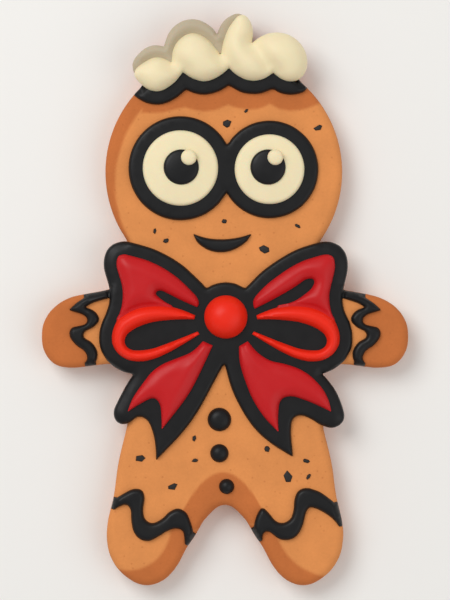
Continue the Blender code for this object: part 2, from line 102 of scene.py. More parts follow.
class BiscuitSettings(bpy.types.PropertyGroup):
    """Sizes and colours of the baked dough."""

    rim_round: length("Rim round", "Radius of the upper rim", 2.0)
    base_round: length("Base round", "Radius of the lower rim", 0.7)
    swell: length("Swell", "Height of the slow waves in the baked top", 0.13)
    swell_size: length("Swell size", "Width of those waves", 13.0)
    # Fade: the width over which the painted shade fades in at its edges.
    fade: length("Fade", "Width over which the crust turns brown", 0.9)
    light_crust: colour("Light crust", "Colour of most of the crust", "#DE8E4F")
    # Colour of the painted shade on the hands, the brow under the frosting, the left of the
    # head, the feet and between the legs, and of the shade in the pores; the real even brown of
    # the sides is a blend towards it.
    shade_and_side_crust: colour("Brown crust", "Colour of hands, feet and brow", "#C36E37")
    nib: colour("Nib", "Colour of the cocoa nibs", "#1B1614")


class IcingSettings(bpy.types.PropertyGroup):
    """Sizes and colours of the flooded and piped icing."""

    line_edge: length("Line edge", "Radius of the edge of the black icing", 0.9)
    ribbon_edge: length("Ribbon edge", "Radius of the edge of the red icing", 0.8)
    sink: length("Sink", "How far icing sets into what it lies on", 0.35)
    black: colour("Black", "Black icing", "#161617")
    cream: colour("Cream", "Cream icing", "#F0E1B9")
    # The back frosting is the same cream icing darkened as painted shade, for the shaded side of
    # the frosting.
    shaded_cream: colour("Shaded cream", "Darker cream of the back frosting", "#BBAD93")
    dark_red: colour("Dark red", "Back of the ribbon and its tails", "#C21A1E")
    bright_red: colour("Bright red", "Front of the ribbon and the knot", "#EE2913")


class StageSettings(bpy.types.PropertyGroup):
    """Floor, lamps and camera."""

    floor: colour("Floor", "Colour of the floor", "#F1EFEB")
    sky: FloatProperty(name="Sky", description="Strength of the even light", default=0.5,
                       min=0.0)
    key: FloatProperty(name="Key", description="Power of the main lamp", default=4.6,
                       min=0.0, unit="POWER")
    fill: FloatProperty(name="Fill", description="Power of the second lamp", default=1.9,
                        min=0.0, unit="POWER")
    view_height: length("View height", "Length of floor that the camera takes in", 150.0)
    focal_length: FloatProperty(name="Focal length", description="Focal length of the lens",
                                default=250.0, min=20.0, unit="CAMERA")


def look_biscuit():
    return bpy.context.scene.gingerbread_biscuit


def look_icing():
    return bpy.context.scene.gingerbread_icing


def look_stage():
    return bpy.context.scene.gingerbread_stage


# ---------------------------------------------------------------- flat shapes
# A flat shape is a function from points to how deep inside it each one lies.

CORNER = math.radians(50)   # an outline or a surface that turns more than this is sharp there
HANDLE = 0.335              # Bezier handles of a smooth span, as a share of its chord
LINE_STEP = 1.6             # spacing of the points of a traced line, in grid steps
SHORTEST_LINE = 8           # a traced line with fewer points is dropped
OUTLINE_STEP = 0.35 * MM    # spacing of the points of a piece's outline
BISCUIT_GRID = 0.33 * MM    # spacing of the grid that holds the depth inside the biscuit


def cad_outline(node):
    """The outer line of a model piece seen from above, anticlockwise."""
    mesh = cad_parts[node].data
    mesh.calc_loop_triangles()
    faces_up = 0.02             # least Z of the normal of a face seen from above
    grain = 0.001 * MM          # points are matched to this
    follow = {}
    edges = set()
    for triangle in mesh.loop_triangles:
        if triangle.normal.z > faces_up:
            keys = [tuple(round(c / grain) for c in mesh.vertices[v].co[:2])
                    for v in triangle.vertices]
            edges |= {(keys[k], keys[(k + 1) % 3]) for k in range(3)}
    for start, end in edges:
        if (end, start) not in edges:
            follow[start] = end
    loops = []
    while follow:
        first, step = follow.popitem()
        loop = [first]
        while step != first:
            loop.append(step)
            step = follow.pop(step)
        loops.append(loop)
    return np.array(max(loops, key=len), float) * grain


def smooth_loop(points, spacing):
    """The closed line through the points, smooth except at its corners."""
    knots = [Vector(p) for p in points]
    count = len(knots)
    directions = []
    for k in range(count):
        before = knots[k] - knots[k - 1]
        after = knots[(k + 1) % count] - knots[k]
        sharp = before.normalized().dot(after.normalized()) < math.cos(CORNER)
        directions.append(None if sharp else (before + after).normalized())
    line = []
    for k in range(count):
        n = (k + 1) % count
        start, end = knots[k], knots[n]
        chord = (end - start).length
        reach = HANDLE * chord
        leave = start + directions[k] * reach if directions[k] else None
        arrive = end - directions[n] * reach if directions[n] else None
        if leave is None and arrive is None:
            leave, arrive = start.lerp(end, 1 / 3), start.lerp(end, 2 / 3)
        elif leave is None:
            leave = start.lerp(arrive, 0.5)
        elif arrive is None:
            arrive = end.lerp(leave, 0.5)
        steps = max(1, math.ceil(chord / spacing))
        line += interpolate_bezier(start, leave, arrive, end, steps + 1)[:-1]
    return np.array([(p[0], p[1]) for p in line])


def depth_inside(points, loop):
    """How deep each point lies inside the closed loop; negative outside."""
    spans = np.roll(loop, -1, axis=0) - loop
    squares = (spans ** 2).sum(axis=1)
    end_heights = np.roll(loop[:, 1], -1)
    depth = np.empty(len(points))
    batch = 2000                # points taken at a time, to keep the arrays small
    for first in range(0, len(points), batch):
        part = points[first:first + batch]
        away_x = part[:, 0:1] - loop[:, 0]
        away_y = part[:, 1:2] - loop[:, 1]
        along = np.clip((away_x * spans[:, 0] + away_y * spans[:, 1]) / squares, 0, 1)
        near = (away_x - along * spans[:, 0]) ** 2 + (away_y - along * spans[:, 1]) ** 2
        left = spans[:, 0] * away_y > spans[:, 1] * away_x
        above_start = away_y >= 0
        above_end = part[:, 1:2] >= end_heights
        winding = ((above_start & ~above_end & left).sum(axis=1)
                   - (~above_start & above_end & ~left).sum(axis=1))
        distance = np.sqrt(near.min(axis=1))
        depth[first:first + batch] = np.where(winding != 0, distance, -distance)
    return depth


@functools.lru_cache(maxsize=None)
def node_loop(node):
    return smooth_loop(cad_outline(node), OUTLINE_STEP)


def node_shape(node):
    return lambda points: depth_inside(points, node_loop(node))


def joined(first, second, fillet):
    """Two shapes together; the fillet also closes a narrow gap between them."""
    def depth(points):
        one, other = first(points), second(points)
        near = np.clip(fillet - np.abs(one - other), 0, None)
        return np.maximum(one, other) + near ** 2 / (4 * fillet)
    return depth


def tucked_under(node, cover, closing=1.2 * MM):
    """A piece's shape, carried on under the edge of the piece that covers it.

    It crosses the gap between them where that is narrower than half of `closing`.
    """
    overlap = 0.9 * MM
    own = node_shape(node)
    both = joined(own, node_shape(cover), closing)
    return lambda points: np.minimum(own(points) + overlap, both(points))


def over_rim(shape, reach):
    """A shape carried on straight to the rim of the biscuit from `reach` inside it."""
    biscuit = biscuit_field()
    short_of_rim = 0.03 * MM

    def depth(points):
        rim = biscuit.at(points)
        inner = points + biscuit.inward(points) * np.clip(reach - rim, 0, None)[:, None]
        return np.minimum(shape(inner), rim - short_of_rim)
    return depth


class Field:
    """The depth of a flat shape on a grid of points, and what can be read off it."""

    def __init__(self, shape, loop, step):
        margin = 1.5 * MM
        self.step = step
        self.low = loop.min(axis=0) - margin
        count = np.ceil((loop.max(axis=0) + margin - self.low) / step).astype(int) + 1
        self.xs = self.low[0] + step * np.arange(count[0])
        self.ys = self.low[1] + step * np.arange(count[1])
        x, y = np.meshgrid(self.xs, self.ys)
        self.depth = shape(np.column_stack((x.ravel(), y.ravel()))).reshape(x.shape)
        self.slope_y, self.slope_x = np.gradient(self.depth, step)

    def read(self, values, points):
        """Grid values at any points, blended from the four around each."""
        last = np.array(values.shape[::-1]) - 1.001     # just inside the last cell
        place = np.clip((points - self.low) / self.step, 0, last)
        corner = place.astype(int)
        part = place - corner
        i, j = corner[:, 1], corner[:, 0]
        lower = values[i, j] * (1 - part[:, 0]) + values[i, j + 1] * part[:, 0]
        upper = values[i + 1, j] * (1 - part[:, 0]) + values[i + 1, j + 1] * part[:, 0]
        return lower * (1 - part[:, 1]) + upper * part[:, 1]

    def at(self, points):
        return self.read(self.depth, points)

    def inward(self, points):
        """The direction that leads deeper into the shape."""
        way = np.column_stack((self.read(self.slope_x, points),
                               self.read(self.slope_y, points)))
        return way / np.maximum(np.hypot(*way.T), 1e-9)[:, None]

    def softened(self, reach):
        """The depth with its creases blurred over the given reach."""
        width = max(1, round(reach / self.step))
        kernel = np.ones(2 * width + 1) / (2 * width + 1)
        values = np.clip(self.depth, 0, None)
        for _ in range(2):
            for axis in (0, 1):
                values = np.apply_along_axis(np.convolve, axis, values, kernel, mode="same")
        return values

    def loops(self, level):
        """Closed lines where the depth is `level`, with the shape on their left."""
        depth = self.depth - level
        inside = depth > 0
        mixed = (inside[:-1, :-1].astype(int) + inside[:-1, 1:] + inside[1:, 1:]
                 + inside[1:, :-1])
        follow = {}
        for i, j in zip(*np.nonzero((mixed > 0) & (mixed < 4))):
            corners = ((i, j), (i, j + 1), (i + 1, j + 1), (i + 1, j))
            ends = [(corners[k], corners[(k + 1) % 4]) for k in range(4)]
            leaves = [k for k, (a, b) in enumerate(ends) if inside[a] and not inside[b]]
            enters = [k for k, (a, b) in enumerate(ends) if not inside[a] and inside[b]]
            turn = 1 if sum(depth[c] for c in corners) > 0 else -1
            for k in leaves:
                goal = next(m % 4 for m in range(k + turn, k + 5 * turn, turn)
                            if m % 4 in enters)
                follow[tuple(sorted(ends[k]))] = tuple(sorted(ends[goal]))

        def place(edge):
            (i, j), (m, n) = edge
            share = depth[i, j] / (depth[i, j] - depth[m, n])
            return (self.xs[j] + share * (self.xs[n] - self.xs[j]),
                    self.ys[i] + share * (self.ys[m] - self.ys[i]))

        found = []
        while follow:
            first, edge = follow.popitem()
            loop = [place(first)]
            while edge != first:
                loop.append(place(edge))
                edge = follow.pop(edge)
            found.append(even_loop(np.array(loop), LINE_STEP * self.step))
        return [loop for loop in found if len(loop) >= SHORTEST_LINE]


def even_loop(loop, spacing):
    """The closed loop with points at even steps along it."""
    ring = np.vstack((loop, loop[:1]))
    run = np.concatenate(([0], np.cumsum(np.hypot(*np.diff(ring, axis=0).T))))
    count = max(3, round(run[-1] / spacing))
    places = np.linspace(0, run[-1], count, endpoint=False)
    return np.column_stack([np.interp(places, run, ring[:, axis]) for axis in (0, 1)])


@functools.lru_cache(maxsize=None)
def biscuit_field():
    return Field(node_shape("gingerbread"), node_loop("gingerbread"), BISCUIT_GRID)


# -------------------------------------------------------------------- surfaces

def waves(points, size, seed):
    """Slow, even unevenness between about -1 and 1, with bumps of the given size."""
    return np.array([noise.noise((x / size, y / size, seed)) for x, y in points])


def fallen(depth, radius):
    """How far a rim rounded to the radius has fallen at each depth."""
    inward = np.clip(depth / radius, 0, 1)
    return radius * (1 - np.sqrt(1 - (1 - inward) ** 2))


def biscuit_top(points):
    """Height of the baked top, with its rounded rim and slow waves."""
    look = look_biscuit()
    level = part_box("gingerbread")[1].z
    depth = biscuit_field().at(points)
    small_share = 0.35          # height of the small waves, a quarter as wide as the others
    wave = look.swell * (waves(points, look.swell_size, seed=3.1)
                         + small_share * waves(points, look.swell_size / 4, seed=8.7))
    flat = np.clip(depth / look.rim_round, 0, 1)
    return level - fallen(depth, look.rim_round) + wave * flat


def level_surface(height):
    return lambda points: np.full(len(points), height)


def puff(field, edge_height, edge_width, crown, crown_width):
    """Thickness of icing: a round edge, then a slow rise towards the middle."""
    blur = 0.2 * crown_width
    soft = field.softened(blur) if crown else None

    def rise(points):
        inward = np.clip(field.at(points) / edge_width, 0, 1)
        thickness = edge_height * np.sqrt(1 - (1 - inward) ** 2)
        if crown:
            share = np.clip(field.read(soft, points) / crown_width, 0, 1)
            thickness += crown * np.sin(0.5 * math.pi * share) * (1 - (1 - inward) ** 2)
        return thickness
    return rise


# ---------------------------------------------------------------------- meshes

WELD = 0.02 * MM            # points closer than this become one
INSIDE_ONLY = 1             # tells the triangulation to keep what lies inside the lines
TOLERANCE_MM = 1e-5         # its tolerance; it works in millimetres


def filled(lines, inner):
    """Triangles over the area inside closed lines: their points and corner indices."""
    points = []
    edges = []
    for line in lines:
        first = len(points)
        points += [Vector(p) for p in line / MM]
        edges += [(first + k, first + (k + 1) % len(line)) for k in range(len(line))]
    points += [Vector(p) for p in inner / MM]
    flat, _, faces = delaunay_2d_cdt(points, edges, [], INSIDE_ONLY, TOLERANCE_MM)[:3]
    flat = np.array([(p[0], p[1]) for p in flat]) * MM
    corners = np.array(faces)
    a, b, c = (flat[corners[:, k]] for k in range(3))
    turn = (b - a)[:, 0] * (c - a)[:, 1] - (b - a)[:, 1] * (c - a)[:, 0]
    corners[turn < 0] = corners[turn < 0][:, ::-1]
    return flat, corners


def lattice(field, spacing, level):
    """Points of a triangular lattice that lie deeper than the level."""
    rows = []
    row_height = spacing * math.sqrt(3) / 2
    for number, y in enumerate(np.arange(field.ys[0], field.ys[-1], row_height)):
        xs = np.arange(field.xs[0] + (number % 2) * spacing / 2, field.xs[-1], spacing)
        rows.append(np.column_stack((xs, np.full(len(xs), y))))
    points = np.vstack(rows)
    return points[field.at(points) > level]


def clear_of_rims(line, rims, gap):
    """The line without the points that would lie on a rim or past it, as at a sharp tip."""
    depth = np.max([depth_inside(line, rim) for rim in rims], axis=0)
    return line[depth > gap]


def relief(name, field, levels, spacing, top, side):
    """A closed mesh: a fine top, side walls and a plain underside.

    `levels` are the depths of the lines along the edge, from the rim inwards, and `top`
    gives the height at each point.
    `side` lists rows from top to bottom, each with its height and how far it is drawn in.
    """
    nearest = 0.25              # a line comes this near a rim, as a share of its depth
    rims = field.loops(levels[0])
    lines = rims + [clear_of_rims(line, rims, nearest * level)
                    for level in levels[1:] for line in field.loops(level)]
    flat, corners = filled(lines, lattice(field, spacing, levels[-1] + spacing / 2))
    verts = [np.column_stack((flat, top(flat)))]
    faces = [corners]
    count = len(flat)
    last_rims = []
    for rim in rims:
        size = len(rim)
        rows = [np.column_stack((rim, top(rim)))]
        inward = field.inward(rim)
        for height, drawn_in in side:
            rows.append(np.column_stack((rim + inward * drawn_in, np.full(size, height))))
        here = np.arange(size)
        after = (here + 1) % size
        for row in range(len(side)):
            upper, lower = count + row * size, count + (row + 1) * size
            faces.append(np.column_stack((upper + here, lower + here, lower + after)))
            faces.append(np.column_stack((upper + here, lower + after, upper + after)))
        verts += rows
        count += len(rows) * size
        last_rims.append(rows[-1][:, :2])
    flat, corners = filled(last_rims, np.empty((0, 2)))
    verts.append(np.column_stack((flat, np.full(len(flat), side[-1][0]))))
    faces.append(corners[:, ::-1] + count)
    return make_object(name, np.vstack(verts), np.vstack(faces))


def make_object(name, verts, faces):
    """An object with a welded, smooth mesh, kept inside the box of the whole model."""
    built = bmesh.new()
    points = [built.verts.new(v) for v in np.clip(verts, *CAD_BOUNDS)]
    for face in faces:
        built.faces.new([points[k] for k in face])
    bmesh.ops.remove_doubles(built, verts=built.verts, dist=WELD)
    mesh = bpy.data.meshes.new(name)
    built.to_mesh(mesh)
    built.free()
    mesh.shade_smooth()
    mesh.set_sharp_from_angle(angle=CORNER)
    made = bpy.data.objects.new(name, mesh)
    bpy.context.scene.collection.objects.link(made)
    return made


def finish_piece(piece, node, material):
    """Gives a piece its material and puts it in place of its model node."""
    piece.data.materials.append(material)
    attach(piece, BODY)
    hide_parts(node)


# ------------------------------------------------------------------- materials

MIX_FACTOR, MIX_A, MIX_B, MIX_RESULT = 0, 6, 7, 2   # sockets of a colour Mix node


def add_node(tree, kind, values=None, links=None, **attributes):
    """Adds a node with its attributes, its socket values and the links into it."""
    node = tree.nodes.new(kind)
    for name, value in attributes.items():
        setattr(node, name, value)
    for socket, value in (values or {}).items():
        node.inputs[socket].default_value = value
    for socket, source in (links or {}).items():
        tree.links.new(source, node.inputs[socket])
    return node


def per_metre(size):
    """Texture scale that gives a pattern features of the given size in metres."""
    return 1 / size


def new_material(name):
    material = bpy.data.materials.new(name)
    material.use_nodes = True
    tree = material.node_tree
    tree.nodes.clear()
    place = add_node(tree, "ShaderNodeTexCoord").outputs["Object"]
    return material, tree, place


def output(tree, shader):
    add_node(tree, "ShaderNodeOutputMaterial", links={"Surface": shader.outputs["BSDF"]})


def scaled(base, factor):
    return (*[min(1.0, c * factor) for c in base], 1)


@functools.lru_cache(maxsize=None)
def baked_gingerbread():
    """Gingerbread, rolled and baked: dry and matt, mottled, with fine crumb and pores."""
    look = look_biscuit()
    material, tree, place = new_material("gingerbread_baked")
    # Painted shade: the share of the shade colour at each point, together with the real even
    # brown of the sides.
    browning = add_node(tree, "ShaderNodeAttribute", attribute_name="browning").outputs["Fac"]
    # Patches about 9 mm across that took the heat differently.
    mottle = add_node(tree, "ShaderNodeTexNoise",
                      {"Scale": per_metre(9 * MM), "Detail": 3.0, "Roughness": 0.55},
                      {"Vector": place})
    # Crumb of flour and sugar; finer in truth, drawn at 0.6 mm so that it shows.
    crumb = add_node(tree, "ShaderNodeTexNoise",
                     {"Scale": per_metre(0.6 * MM), "Detail": 2.0, "Roughness": 0.6},
                     {"Vector": place})
    # Pores where steam came out, about 2 mm apart.
    pores = add_node(tree, "ShaderNodeTexVoronoi", {"Scale": per_metre(2.1 * MM)},
                     {"Vector": place})
    pit = add_node(tree, "ShaderNodeMapRange",
                   {"From Min": 0.06, "From Max": 0.16, "To Min": 1.0, "To Max": 0.0},
                   {"Value": pores.outputs["Distance"]})
    # Crust colour with the painted shade mixed in.
    crust = add_node(tree, "ShaderNodeMix",
                     {MIX_A: (*look.light_crust, 1), MIX_B: (*look.shade_and_side_crust, 1)},
                     {MIX_FACTOR: browning}, data_type="RGBA")
    patch = add_node(tree, "ShaderNodeMapRange",
                     {"From Min": 0.3, "From Max": 0.7, "To Min": 0.93, "To Max": 1.07},
                     {"Value": mottle.outputs["Fac"]})
    grain = add_node(tree, "ShaderNodeMapRange",
                     {"From Min": 0.25, "From Max": 0.75, "To Min": 0.965, "To Max": 1.035},
                     {"Value": crumb.outputs["Fac"]})
    shade = add_node(tree, "ShaderNodeMath", links={0: patch.outputs[0], 1: grain.outputs[0]},
                     operation="MULTIPLY")
    toned = add_node(tree, "ShaderNodeMix", {MIX_FACTOR: 1.0},
                     {MIX_A: crust.outputs[MIX_RESULT], MIX_B: shade.outputs[0]},
                     data_type="RGBA", blend_type="MULTIPLY")
    # Painted shade in the pores: the crust is darkened inside each pit.
    with_pore_shade = add_node(tree, "ShaderNodeMix", {MIX_B: scaled(look.shade_and_side_crust, 0.8)},
                      {MIX_A: toned.outputs[MIX_RESULT]}, data_type="RGBA")
    pore_shade_share = add_node(tree, "ShaderNodeMath", {1: 0.35}, {0: pit.outputs[0]},
                         operation="MULTIPLY")
    tree.links.new(pore_shade_share.outputs[0], with_pore_shade.inputs[MIX_FACTOR])
    height = add_node(tree, "ShaderNodeMath", {1: -0.8}, {0: pit.outputs[0]},
                      operation="MULTIPLY")
    rough = add_node(tree, "ShaderNodeMath",
                     links={0: height.outputs[0], 1: crumb.outputs["Fac"]}, operation="ADD")
    bump = add_node(tree, "ShaderNodeBump", {"Strength": 0.35, "Distance": 0.12 * MM},
                    {"Height": rough.outputs[0]})
    shader = add_node(tree, "ShaderNodeBsdfPrincipled",
                      {"Roughness": 0.82, "IOR": 1.45, "Specular IOR Level": 0.3},
                      {"Base Color": with_pore_shade.outputs[MIX_RESULT], "Normal": bump.outputs[0]})
    output(tree, shader)
    return material


@functools.lru_cache(maxsize=None)
def royal_icing(tint, roughness, soft):
    """Royal icing, flooded or piped and left to set: smooth, with an uneven soft gloss.

    `tint` names its colour in the settings, and `soft` is how much light goes in and comes
    out again, which cream icing shows most.
    """
    material, tree, place = new_material(f"royal_icing_{tint}")
    base = tuple(getattr(look_icing(), tint))
    # Colour settles a little unevenly as the icing dries, over about 5 mm.
    settle = add_node(tree, "ShaderNodeTexNoise",
                      {"Scale": per_metre(5 * MM), "Detail": 2.0}, {"Vector": place})
    shade = add_node(tree, "ShaderNodeMix",
                     {MIX_A: scaled(base, 0.96), MIX_B: scaled(base, 1.04)},
                     {MIX_FACTOR: settle.outputs["Fac"]}, data_type="RGBA")
    # Gloss changes over about 3 mm where the sugar skin formed sooner or later.
    skin = add_node(tree, "ShaderNodeTexNoise",
                    {"Scale": per_metre(3 * MM), "Detail": 3.0}, {"Vector": place})
    gloss = add_node(tree, "ShaderNodeMapRange",
                     {"From Min": 0.3, "From Max": 0.7, "To Min": roughness - 0.07,
                      "To Max": roughness + 0.07}, {"Value": skin.outputs["Fac"]})
    # Faint orange-peel of the dried skin, 0.8 mm across.
    peel = add_node(tree, "ShaderNodeTexNoise",
                    {"Scale": per_metre(0.8 * MM), "Detail": 1.0}, {"Vector": place})
    bump = add_node(tree, "ShaderNodeBump", {"Strength": 0.08, "Distance": 0.06 * MM},
                    {"Height": peel.outputs["Fac"]})
    shader = add_node(tree, "ShaderNodeBsdfPrincipled",
                      {"IOR": 1.5, "Specular IOR Level": 0.22, "Subsurface Weight": soft,
                       "Subsurface Scale": 1.5 * MM},
                      {"Base Color": shade.outputs[MIX_RESULT], "Roughness": gloss.outputs[0],
                       "Normal": bump.outputs[0]})
    output(tree, shader)
    return material


def black_icing():
    return royal_icing("black", roughness=0.42, soft=0.0)


def cream_icing():
    return royal_icing("cream", roughness=0.5, soft=0.12)


def painted_shade_cream_icing():
    return royal_icing("shaded_cream", roughness=0.5, soft=0.12)


def dark_red_icing():
    return royal_icing("dark_red", roughness=0.4, soft=0.05)


def bright_red_icing():
    return royal_icing("bright_red", roughness=0.4, soft=0.05)


@functools.lru_cache(maxsize=None)
def cocoa_nib():
    """Cocoa nibs, cracked: near-black, with a dull waxy break."""
    look = look_biscuit()
    material, tree, place = new_material("cocoa_nib_cracked")
    # Breaks about 0.5 mm apart, paler where the wax shows.
    crack = add_node(tree, "ShaderNodeTexNoise", {"Scale": per_metre(0.5 * MM)},
                     {"Vector": place})
    shade = add_node(tree, "ShaderNodeMix",
                     {MIX_A: scaled(look.nib, 0.8), MIX_B: scaled(look.nib, 1.25)},
                     {MIX_FACTOR: crack.outputs["Fac"]}, data_type="RGBA")
    shader = add_node(tree, "ShaderNodeBsdfPrincipled", {"Roughness": 0.6, "IOR": 1.45},
                      {"Base Color": shade.outputs[MIX_RESULT]})
    output(tree, shader)
    return material


@functools.lru_cache(maxsize=None)
def painted_floor():
    """Board painted with matt emulsion: pale and even, with a faint roller texture."""
    look = look_stage()
    material, tree, place = new_material("board_painted_matt")
    # Roller stipple, 2 mm across.
    stipple = add_node(tree, "ShaderNodeTexNoise", {"Scale": per_metre(2 * MM)},
                       {"Vector": place})
    bump = add_node(tree, "ShaderNodeBump", {"Strength": 0.03, "Distance": 0.05 * MM},
                    {"Height": stipple.outputs["Fac"]})
    shader = add_node(tree, "ShaderNodeBsdfPrincipled",
                      {"Base Color": (*look.floor, 1), "Roughness": 0.9,
                       "Specular IOR Level": 0.2}, {"Normal": bump.outputs[0]})
    output(tree, shader)
    return material


# -------------------------------------------------------------------- painted shade
# Painted shade, drawn as darker crust: hands, brow under the frosting, left of the head, feet
# and between the legs.

HEAD_CENTRE = (-0.3 * MM, 32.0 * MM)
HEAD_RADIUS = 29.6 * MM
HEAD_SHADE_SHIFT = (2.5 * MM, -3.0 * MM)    # the light disc on the head is moved this way
NECK_Y = HEAD_CENTRE[1] - 0.75 * HEAD_RADIUS    # the shade of the head ends here
# The lower edge of the painted shadow under the frosting, scalloped like the icing above it: X
# and Y in millimetres.
FROSTING_SHADOW_EDGE = ((-20.7, 46.8), (-18.0, 46.6), (-15.9, 46.7), (-13.8, 47.2), (-11.8, 47.7),
             (-10.1, 48.1), (-7.6, 47.4), (-5.1, 47.1), (-2.6, 47.4), (-0.6, 48.1),
             (0.9, 48.7), (3.1, 47.9), (5.6, 47.5), (8.1, 47.7), (9.8, 48.3), (11.1, 49.0),
             (13.5, 47.7), (16.4, 47.2), (19.3, 47.5), (21.4, 48.2), (23.8, 49.2))
# The disc on each foot left out of its painted shade: its centre and radius.
FOOT_LIGHT = {"ankle_left": ((-24.2 * MM, -57.0 * MM), 10.5 * MM),
              "ankle_right": ((27.5 * MM, -53.8 * MM), 15.4 * MM)}
# The painted shade between the legs is an arch that falls from its top by steepness * X squared.
ARCH_TOP = (-0.5 * MM, -43.0 * MM)
ARCH_STEEPNESS = 96.0


def band_middle(node, axis):
    """The middle of a wavy band, as places along `axis` and the middle there."""
    loop = node_loop(node)
    samples = 60
    half_slice = 0.5 * MM
    places = np.linspace(loop[:, axis].min(), loop[:, axis].max(), samples)[1:-1]
    middles = []
    for place in places:
        other = loop[np.abs(loop[:, axis] - place) < half_slice][:, 1 - axis]
        middles.append((other.min() + other.max()) / 2)
    return places, np.array(middles)


def painted_shade_depth(points):
    """How deep each point lies inside the places of painted shade; negative outside."""
    x, y = points.T
    zones = []
    # Painted shade over each hand, out from the middle of its cuff.
    for side, node in ((-1, "cuff_left"), (1, "cuff_right")):
        zones.append(side * (x - np.interp(y, *band_middle(node, axis=1))))
    # Painted shade on the left of the head, outside a light disc shifted to the right and down.
    past_rim = 1.0 * MM         # the shade of the head runs on this far past its edge
    head_depth = HEAD_RADIUS - np.hypot(x - HEAD_CENTRE[0], y - HEAD_CENTRE[1])
    light_x, light_y = np.add(HEAD_CENTRE, HEAD_SHADE_SHIFT)
    crescent = np.hypot(x - light_x, y - light_y) - HEAD_RADIUS
    zones.append(np.min((crescent, y - NECK_Y, head_depth + past_rim, -x), axis=0))
    # Painted shadow of the frosting across the brow.
    edge_x, edge_y = np.array(FROSTING_SHADOW_EDGE).T * MM
    zones.append(np.minimum(y - np.interp(x, edge_x, edge_y), x - edge_x[0]))
    # Painted shade on each foot, below its ankle band and outside its unshaded disc.
    above_bands = np.full(len(points), math.inf)
    for side, node in ((-1, "ankle_left"), (1, "ankle_right")):
        below = np.interp(x, *band_middle(node, axis=0)) - y
        centre, radius = FOOT_LIGHT[node]
        dark = np.hypot(x - centre[0], y - centre[1]) - radius
        zones.append(np.min((dark, below, side * x), axis=0))
        above_bands = np.where(side * x > 0, -below, above_bands)
    # Painted shade between the legs, under an arch and above the ankle bands.
    arch = ARCH_TOP[1] - ARCH_STEEPNESS * (x - ARCH_TOP[0]) ** 2 - y
    zones.append(np.minimum(arch, above_bands))
    return np.max(zones, axis=0)


# ----------------------------------------------------------------------- nibs
# Cocoa nibs pressed into the dough: X, Y, width, height in millimetres and a turn in degrees.
NIBS = ((0.5, 44.0, 2.2, 1.9, 20), (5.3, 47.2, 1.1, 0.7, 40), (23.3, 43.0, 2.3, 1.3, 25),
        (-0.2, 19.7, 1.5, 1.1, 0), (-17.5, 17.2, 0.8, 1.5, 0), (-14.7, 14.8, 1.5, 1.0, 20),
        (18.1, 18.5, 1.5, 0.8, -30), (9.8, 12.7, 2.4, 1.9, -20), (-21.2, -39.5, 2.4, 1.7, -5),
        (-7.7, -34.5, 1.1, 1.6, -15), (-7.5, -40.0, 1.5, 0.9, 15), (-13.1, -46.5, 2.4, 1.7, 15),
        (10.5, -37.2, 1.5, 1.6, 0), (20.2, -40.1, 1.7, 1.1, -10), (15.7, -44.0, 2.2, 2.6, 15),
        (20.9, -44.0, 0.9, 1.7, -35))
# Rings of corners round a nib: reach as a share of its outline, height in millimetres.
NIB_RINGS = ((1.0, -0.35), (0.97, 0.1), (0.72, 0.3))
NIB_CROWN = 0.36 * MM       # its highest point over the dough
NIB_KEEL = 0.35 * MM        # and its lowest point under it
NIB_REACH = (0.95, 1.25)    # how far a corner stands out, as a share of half the width
NIB_TILT = 0.05             # each corner is this much higher or lower, in millimetres
NIB_JITTER = 0.25           # and this share of a step to either side


def nib_mesh(place, chance):
    """One cracked nib: an angular lump, half sunk in the dough."""
    x, y, width, height, turn = place
    centre = np.array((x, y)) * MM
    corners = chance.choice((5, 6))
    angles = [2 * math.pi * (k + chance.uniform(-NIB_JITTER, NIB_JITTER)) / corners
              for k in range(corners)]
    turned_by = math.radians(turn)
    ring = []
    for angle in angles:
        reach = chance.uniform(*NIB_REACH)
        along = 0.5 * width * reach * math.cos(angle)
        across = 0.5 * height * reach * math.sin(angle)
        ring.append((along * math.cos(turned_by) - across * math.sin(turned_by),
                     along * math.sin(turned_by) + across * math.cos(turned_by)))
    ring = np.array(ring) * MM
    ground = float(biscuit_top(centre[None])[0])
    rows = []
    for share, rise in NIB_RINGS:
        tilt = [chance.uniform(-NIB_TILT, NIB_TILT) for _ in ring]
        rows += [(*(centre + share * p), ground + (rise + t) * MM) for p, t in zip(ring, tilt)]
    rows.append((*centre, ground + NIB_CROWN))
    rows.append((*centre, ground - NIB_KEEL))
    crown, keel = 3 * corners, 3 * corners + 1
    faces = []
    for k in range(corners):
        n = (k + 1) % corners
        for row in (0, corners):
            faces.append((row + k, row + n, row + corners + n, row + corners + k))
        faces.append((2 * corners + k, 2 * corners + n, crown))
        faces.append((n, k, keel))
    return rows, faces


# ------------------------------------------------------------------- operators

def round_levels(width, count):
    """Depths of edge loops that follow a quarter round of the given width."""
    return [width * (1 - math.cos(0.5 * math.pi * k / count)) for k in range(count + 1)]


